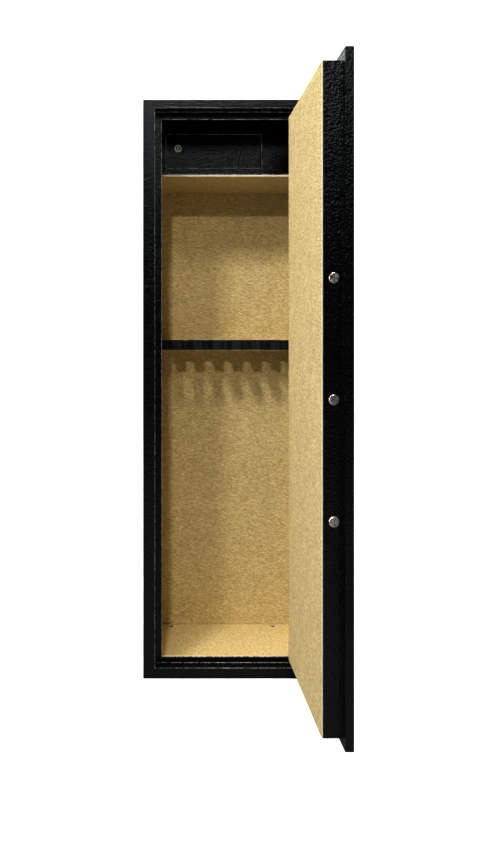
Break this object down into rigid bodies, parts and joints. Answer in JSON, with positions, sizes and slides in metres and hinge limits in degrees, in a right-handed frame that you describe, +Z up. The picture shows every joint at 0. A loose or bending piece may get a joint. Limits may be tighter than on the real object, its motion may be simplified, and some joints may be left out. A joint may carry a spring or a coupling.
{
  "type": "wall safe",
  "caption": "Tall steel wall safe for long guns: door on hinge pins with sliding bolts, felt lining, foam barrel rack and a key-locked inner box.",
  "frame": {"origin": "centre of the cabinet's underside", "axes": "+Z up, front of the cabinet faces -Y, +X to the right seen from the front"},
  "size_m": [0.44, 0.6857, 1.4],
  "materials": {
    "black_coat": "hammered black powder coat",
    "felt": "beige needled felt",
    "bolt_steel": "bright turned steel",
    "turned_steel": "plain turned steel",
    "zinc_plate": "zinc plated",
    "knob_metal": "satin chrome",
    "rack_foam": "closed cell foam",
    "black_plastic": "satin moulded",
    "key_rubber": "silicone keys",
    "circuit_board": "solder mask"
  },
  "bodies": {
    "cabinet": {"left_side": "black_coat", "right_side": "black_coat", "top_panel": "black_coat", "base_panel": "black_coat", "back_panel": "black_coat", "jamb_left": "black_coat", "jamb_right": "black_coat", "frame_head": "black_coat", "frame_sill": "black_coat", "hinge_pin_lower": "turned_steel", "hinge_pin_upper": "turned_steel", "lining_left": "felt", "lining_right": "felt", "lining_back": "felt", "lining_floor": "felt", "lockbox_shelf": "black_coat", "shelf_lining": "felt", "lockbox_front": "black_coat", "lockbox_hinge_pin": "turned_steel", "barrel_rack": "rack_foam", "rack_bracket_left": "black_coat", "rack_bracket_right": "black_coat"},
    "door": {"door_plate": "black_coat", "door_pan": "black_coat", "door_lining": "felt", "hinge_block_lower": "turned_steel", "hinge_block_upper": "turned_steel", "bolt_guide_upper": "zinc_plate", "bolt_guide_middle": "zinc_plate", "bolt_guide_lower": "zinc_plate", "spindle_bush": "zinc_plate", "keypad_housing": "black_plastic", "keypad_board": "circuit_board", "solenoid_body": "zinc_plate", "spare_lock_body": "zinc_plate"},
    "handle": {"handle_spindle": "turned_steel", "cam_disc": "zinc_plate", "handle_knob": "knob_metal"},
    "bolt_carriage": {"bolt_bar": "zinc_plate", "bolt_upper": "bolt_steel", "bolt_middle": "bolt_steel", "bolt_lower": "bolt_steel"},
    "plunger": {"solenoid_plunger": "turned_steel", "plunger_spring": "turned_steel"},
    "spare_plug": {"spare_lock_plug": "turned_steel"},
    "lockbox_door": {"lockbox_door": "black_coat", "lockbox_lock_body": "zinc_plate"},
    "lockbox_plug": {"lockbox_lock_plug": "turned_steel"},
    "key_1": {"key_1": "key_rubber"},
    "key_2": {"key_2": "key_rubber"},
    "key_3": {"key_3": "key_rubber"},
    "key_4": {"key_4": "key_rubber"},
    "key_5": {"key_5": "key_rubber"},
    "key_6": {"key_6": "key_rubber"},
    "key_7": {"key_7": "key_rubber"},
    "key_8": {"key_8": "key_rubber"},
    "key_9": {"key_9": "key_rubber"},
    "key_star": {"key_star": "key_rubber"},
    "key_0": {"key_0": "key_rubber"},
    "key_hash": {"key_hash": "key_rubber"}
  },
  "joints": [
    {"name": "door_hinge", "type": "hinge", "parent": "cabinet", "child": "door", "pos_m": [0.1835, -0.1472, 0.7], "axis": [0, 0, 1], "range_deg": [-90, 5]},
    {"name": "handle_turn", "type": "hinge", "parent": "door", "child": "handle", "pos_m": [0.1963, -0.4037, 0.7], "axis": [1, 0, 0], "range_deg": [0, 90]},
    {"name": "bolt_slide", "type": "slide", "parent": "door", "child": "bolt_carriage", "axis": [0, -1, 0], "range_m": [0, 0.02]},
    {"name": "plunger_slide", "type": "slide", "parent": "door", "child": "plunger", "axis": [0, 0, 1], "range_m": [0, 0.005], "stiffness_N_per_m": 120, "springref_m": -0.004, "deforming": ["plunger_spring"]},
    {"name": "spare_lock_turn", "type": "hinge", "parent": "door", "child": "spare_plug", "pos_m": [0.1863, -0.4037, 0.765], "axis": [1, 0, 0], "range_deg": [0, 90]},
    {"name": "lockbox_hinge", "type": "hinge", "parent": "cabinet", "child": "lockbox_door", "pos_m": [0.0793, -0.0365, 1.31], "axis": [0, 0, 1], "range_deg": [0, 95]},
    {"name": "lockbox_lock_turn", "type": "hinge", "parent": "lockbox_door", "child": "lockbox_plug", "pos_m": [-0.132, -0.04, 1.316], "axis": [0, 1, 0], "range_deg": [0, 90]},
    {"name": "key_1_press", "type": "slide", "parent": "door", "child": "key_1", "axis": [-1, 0, 0], "range_m": [0, 0.0015], "stiffness_N_per_m": 300, "springref_m": -0.0005},
    {"name": "key_2_press", "type": "slide", "parent": "door", "child": "key_2", "axis": [-1, 0, 0], "range_m": [0, 0.0015], "stiffness_N_per_m": 300, "springref_m": -0.0005},
    {"name": "key_3_press", "type": "slide", "parent": "door", "child": "key_3", "axis": [-1, 0, 0], "range_m": [0, 0.0015], "stiffness_N_per_m": 300, "springref_m": -0.0005},
    {"name": "key_4_press", "type": "slide", "parent": "door", "child": "key_4", "axis": [-1, 0, 0], "range_m": [0, 0.0015], "stiffness_N_per_m": 300, "springref_m": -0.0005},
    {"name": "key_5_press", "type": "slide", "parent": "door", "child": "key_5", "axis": [-1, 0, 0], "range_m": [0, 0.0015], "stiffness_N_per_m": 300, "springref_m": -0.0005},
    {"name": "key_6_press", "type": "slide", "parent": "door", "child": "key_6", "axis": [-1, 0, 0], "range_m": [0, 0.0015], "stiffness_N_per_m": 300, "springref_m": -0.0005},
    {"name": "key_7_press", "type": "slide", "parent": "door", "child": "key_7", "axis": [-1, 0, 0], "range_m": [0, 0.0015], "stiffness_N_per_m": 300, "springref_m": -0.0005},
    {"name": "key_8_press", "type": "slide", "parent": "door", "child": "key_8", "axis": [-1, 0, 0], "range_m": [0, 0.0015], "stiffness_N_per_m": 300, "springref_m": -0.0005},
    {"name": "key_9_press", "type": "slide", "parent": "door", "child": "key_9", "axis": [-1, 0, 0], "range_m": [0, 0.0015], "stiffness_N_per_m": 300, "springref_m": -0.0005},
    {"name": "key_star_press", "type": "slide", "parent": "door", "child": "key_star", "axis": [-1, 0, 0], "range_m": [0, 0.0015], "stiffness_N_per_m": 300, "springref_m": -0.0005},
    {"name": "key_0_press", "type": "slide", "parent": "door", "child": "key_0", "axis": [-1, 0, 0], "range_m": [0, 0.0015], "stiffness_N_per_m": 300, "springref_m": -0.0005},
    {"name": "key_hash_press", "type": "slide", "parent": "door", "child": "key_hash", "axis": [-1, 0, 0], "range_m": [0, 0.0015], "stiffness_N_per_m": 300, "springref_m": -0.0005}
  ],
  "couplings": [
    {"joint": "bolt_slide", "follows": "handle_turn", "m_per_rad": 0.012732}
  ]
}
